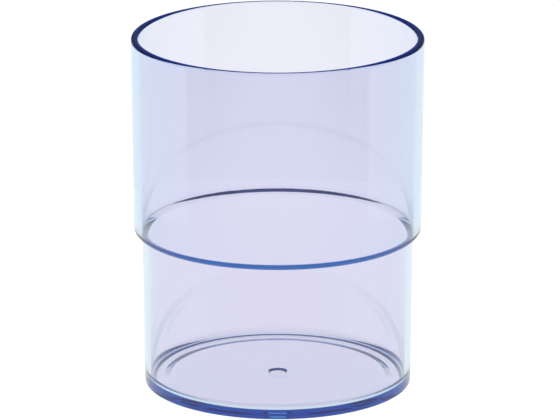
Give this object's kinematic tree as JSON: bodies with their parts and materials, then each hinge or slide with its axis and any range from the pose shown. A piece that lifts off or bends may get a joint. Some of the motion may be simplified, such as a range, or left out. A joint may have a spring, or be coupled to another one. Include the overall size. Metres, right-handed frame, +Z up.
{
  "type": "pen holder cup",
  "caption": "Round transparent tinted plastic cup with a stepped wall, open at the top, which stands on a ring-shaped foot and stacks into others of its kind.",
  "frame": {"origin": "centre of the plane that the foot rests on", "axes": "+Z up along the cup's axis; the cup is round, so X and Y are any two directions square to it"},
  "size_m": [0.08, 0.08, 0.0976],
  "materials": {
    "tinted_plastic": "polished, transparent, blue tint that deepens with thickness"
  },
  "bodies": {
    "root": {"cup_body": "tinted_plastic"}
  },
  "joints": []
}
